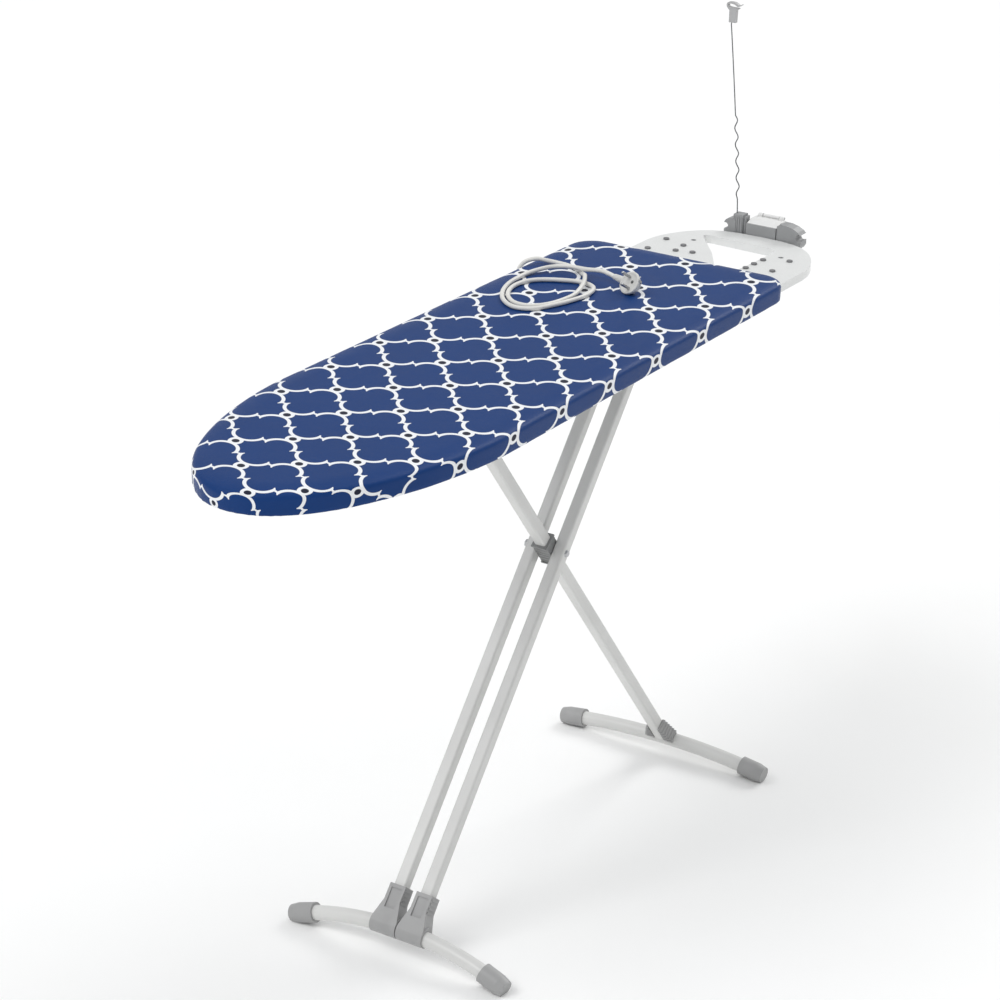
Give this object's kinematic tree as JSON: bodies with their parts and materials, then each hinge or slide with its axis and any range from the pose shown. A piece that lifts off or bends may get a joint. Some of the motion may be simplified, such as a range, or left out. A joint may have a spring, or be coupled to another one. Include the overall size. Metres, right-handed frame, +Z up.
{
  "type": "ironing board",
  "caption": "Folding ironing board: padded patterned cover, crossed steel legs with bowed feet, iron rest tray, mains socket with lead and plug, and a wire cable guide.",
  "frame": {"origin": "on the floor, under the middle of the object's outer box", "axes": "+X from the nose to the iron rest end, +Y across the board to the side that the lead comes over, +Z up"},
  "size_m": [1.511, 0.403, 1.251],
  "materials": {
    "cover": "woven cotton with a printed lattice",
    "felt": "felt",
    "board_steel": "satin grey",
    "pin_steel": "plain",
    "leg_paint": "satin off-white powder coat",
    "tray_plastic": "satin white",
    "grey_plastic": "fine texture",
    "dark_plastic": "plain",
    "stud_rubber": "heat resistant silicone",
    "cord_plastic": "soft PVC sheath",
    "plug_plastic": "moulded",
    "brass": "plain",
    "spring_wire": "dark drawn wire"
  },
  "bodies": {
    "board": {"cover": "cover", "felt_pad": "felt", "steel_deck": "board_steel", "rim_channel": "board_steel", "cross_ribs": "board_steel", "slide_rails": "board_steel", "hinge_bracket": "board_steel", "hinge_pin": "pin_steel", "lever_bracket": "board_steel", "lever_pin": "pin_steel", "lever_spring": "spring_wire", "tray_rods": "pin_steel", "rod_clamps": "board_steel", "iron_rest_tray": "tray_plastic", "heat_studs": "stud_rubber", "tray_screws": "pin_steel", "cable_unit_bracket": "grey_plastic", "socket_housing": "tray_plastic", "socket_insert": "tray_plastic", "socket_contacts": "brass", "lid_pin": "pin_steel", "lead_gland": "grey_plastic", "socket_lead": "cord_plastic", "cable_clips": "grey_plastic", "cord_strain_relief": "grey_plastic", "power_cord": "cord_plastic", "plug_body": "plug_plastic", "plug_pins": "pin_steel"},
    "twin_legs": {"twin_leg_left": "leg_paint", "twin_leg_right": "leg_paint", "front_foot_tube": "leg_paint", "front_clamp_left": "grey_plastic", "front_clamp_right": "grey_plastic", "front_cap_left": "grey_plastic", "front_cap_right": "grey_plastic", "pivot_bolt": "pin_steel", "hinge_spacer": "grey_plastic"},
    "inner_leg": {"single_leg": "leg_paint", "pivot_sleeve": "grey_plastic", "rear_foot_tube": "leg_paint", "rear_gussets": "grey_plastic", "rear_cap_left": "grey_plastic", "rear_cap_right": "grey_plastic"},
    "slider": {"slider_blocks": "grey_plastic", "cross_pin": "pin_steel"},
    "height_lever": {"brake_bar": "board_steel", "lever_rod": "pin_steel", "lever_grip": "dark_plastic"},
    "lid": {"socket_lid": "tray_plastic"},
    "cable_mast": {"guide_wire": "spring_wire", "cord_hook": "grey_plastic"}
  },
  "joints": [
    {"name": "leg_fold", "type": "hinge", "parent": "board", "child": "twin_legs", "pos_m": [0.30348, 0, 0.84], "axis": [0, 1, 0], "range_deg": [0, 48.4]},
    {"name": "leg_cross", "type": "hinge", "parent": "twin_legs", "child": "inner_leg", "pos_m": [0.0485, 0, 0.5287], "axis": [0, 1, 0], "range_deg": [-96.8, 0]},
    {"name": "slider_turn", "type": "hinge", "parent": "inner_leg", "child": "slider", "pos_m": [-0.20648, 0, 0.84], "axis": [0, 1, 0], "range_deg": [0, 48.4]},
    {"name": "lever_release", "type": "hinge", "parent": "board", "child": "height_lever", "pos_m": [-0.1475, -0.0121, 0.857], "axis": [0, 1, 0], "range_deg": [0, 3.5], "stiffness_Nm_per_rad": 10, "springref_deg": -5.73},
    {"name": "lid_hinge", "type": "hinge", "parent": "board", "child": "lid", "pos_m": [0.7525, 0, 0.8915], "axis": [0, -1, 0], "range_deg": [0, 100], "stiffness_Nm_per_rad": 0.01, "springref_deg": -17.19},
    {"name": "mast_lift", "type": "slide", "parent": "board", "child": "cable_mast", "axis": [0, 0, 1], "range_m": [0, 0.03]}
  ],
  "couplings": [
    {"joint": "leg_cross", "follows": "leg_fold", "ratio": -2},
    {"joint": "slider_turn", "follows": "leg_fold", "ratio": 1}
  ]
}
